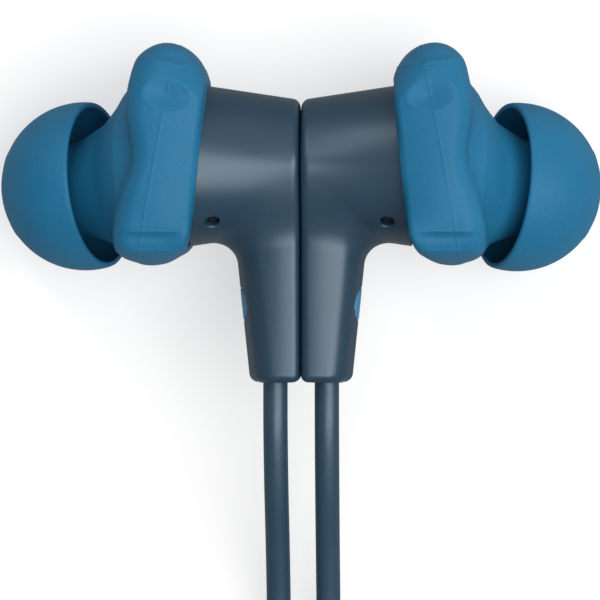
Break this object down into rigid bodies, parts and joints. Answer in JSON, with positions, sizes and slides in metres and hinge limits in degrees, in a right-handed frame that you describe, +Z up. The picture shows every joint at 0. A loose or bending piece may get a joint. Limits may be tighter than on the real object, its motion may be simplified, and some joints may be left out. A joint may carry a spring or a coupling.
{
  "type": "neckband earphones",
  "caption": "Neckband earphones: magnetic earbuds with silicone tips and fin sleeves lying back to back, cords, and a U-shaped collar with keys and battery arms.",
  "frame": {"origin": "middle of the base of everything but the cords, on the surface that the set lies on", "axes": "+X towards the right bud and arm, +Y from the nape to the buds, +Z up from the table"},
  "size_m": [0.1264, 0.2118, 0.0169],
  "materials": {
    "slate_plastic": "satin",
    "blue_silicone": "soft matt silicone",
    "slate_silicone": "soft matt silicone",
    "cord_jacket": "satin",
    "marker_blue": "satin",
    "dark_plastic": "matt",
    "diaphragm_film": "thin film",
    "screen_mesh": "woven",
    "magnet_nickel": "nickel plated",
    "steel": "bright",
    "circuit_board": "solder mask",
    "battery_foil": "satin foil",
    "clear_plastic": "frosted"
  },
  "bodies": {
    "nape": {"nape_sleeve": "slate_silicone", "band_left": "slate_silicone", "band_right": "slate_silicone", "spring_wire_left": "steel", "spring_wire_right": "steel"},
    "arm_left": {"arm_lower_left": "slate_plastic", "arm_upper_left": "slate_plastic", "cord_gland_left": "slate_silicone", "front_screw_left": "steel", "rear_screw_left": "steel", "power_switch": "dark_plastic", "power_board": "circuit_board", "battery": "battery_foil", "charging_socket": "steel", "light_pipe": "clear_plastic"},
    "arm_right": {"arm_lower_right": "slate_plastic", "arm_upper_right": "slate_plastic", "cord_gland_right": "slate_silicone", "front_screw_right": "steel", "rear_screw_right": "steel", "volume_up_switch": "dark_plastic", "play_switch": "dark_plastic", "volume_down_switch": "dark_plastic", "main_board": "circuit_board", "vibration_motor": "steel", "microphone_mesh": "screen_mesh"},
    "bud_left": {"bud_shell_left": "slate_plastic", "back_plate_left": "slate_plastic", "clasp_magnet_left": "magnet_nickel", "nozzle_shell_left": "slate_plastic", "driver_basket_left": "dark_plastic", "driver_magnet_left": "magnet_nickel", "driver_diaphragm_left": "diaphragm_film", "nozzle_mesh_left": "screen_mesh", "vent_mesh_left": "screen_mesh", "side_marker_left": "marker_blue", "cord_grommet_left": "slate_silicone", "fin_sleeve_left": "blue_silicone", "cord_left": "cord_jacket"},
    "tip_left": {"ear_tip_left": "blue_silicone"},
    "bud_right": {"bud_shell_right": "slate_plastic", "back_plate_right": "slate_plastic", "clasp_magnet_right": "magnet_nickel", "nozzle_shell_right": "slate_plastic", "driver_basket_right": "dark_plastic", "driver_magnet_right": "magnet_nickel", "driver_diaphragm_right": "diaphragm_film", "nozzle_mesh_right": "screen_mesh", "vent_mesh_right": "screen_mesh", "side_marker_right": "marker_blue", "cord_grommet_right": "slate_silicone", "fin_sleeve_right": "blue_silicone", "cord_right": "cord_jacket"},
    "tip_right": {"ear_tip_right": "blue_silicone"},
    "volume_up": {"volume_up_key": "slate_silicone"},
    "play": {"play_key": "slate_silicone"},
    "volume_down": {"volume_down_key": "slate_silicone"},
    "power": {"power_key": "slate_silicone"},
    "cover": {"socket_cover": "slate_silicone"}
  },
  "joints": [
    {"name": "arm_spread_left", "type": "hinge", "parent": "nape", "child": "arm_left", "pos_m": [-0.04366, -0.06754, 0.0044], "axis": [0, 0, 1], "range_deg": [0, 12], "stiffness_Nm_per_rad": 0.3, "deforming": ["band_left", "spring_wire_left"]},
    {"name": "arm_spread_right", "type": "hinge", "parent": "nape", "child": "arm_right", "pos_m": [0.04366, -0.06754, 0.0044], "axis": [0, 0, -1], "range_deg": [0, 12], "stiffness_Nm_per_rad": 0.3, "deforming": ["band_right", "spring_wire_right"]},
    {"name": "bud_part_left", "type": "slide", "parent": "arm_left", "child": "bud_left", "axis": [-1, 0, 0], "range_m": [0, 0.015], "deforming": ["cord_left"]},
    {"name": "bud_part_right", "type": "slide", "parent": "arm_right", "child": "bud_right", "axis": [1, 0, 0], "range_m": [0, 0.015], "deforming": ["cord_right"]},
    {"name": "tip_pull_left", "type": "slide", "parent": "bud_left", "child": "tip_left", "axis": [-0.9381, -0.0986, -0.3322], "range_m": [0, 0.004]},
    {"name": "tip_pull_right", "type": "slide", "parent": "bud_right", "child": "tip_right", "axis": [0.9381, -0.0986, -0.3322], "range_m": [0, 0.004]},
    {"name": "volume_up_press", "type": "slide", "parent": "arm_right", "child": "volume_up", "axis": [0, 0, -1], "range_m": [0, 0.0003], "stiffness_N_per_m": 4000},
    {"name": "play_press", "type": "slide", "parent": "arm_right", "child": "play", "axis": [0, 0, -1], "range_m": [0, 0.0003], "stiffness_N_per_m": 4000},
    {"name": "volume_down_press", "type": "slide", "parent": "arm_right", "child": "volume_down", "axis": [0, 0, -1], "range_m": [0, 0.0003], "stiffness_N_per_m": 4000},
    {"name": "power_press", "type": "slide", "parent": "arm_left", "child": "power", "axis": [0, 0, -1], "range_m": [0, 0.0003], "stiffness_N_per_m": 4000},
    {"name": "cover_swing", "type": "hinge", "parent": "arm_left", "child": "cover", "pos_m": [-0.0508, 0.03378, 0.0044], "axis": [0, 0, 1], "range_deg": [0, 100]}
  ]
}
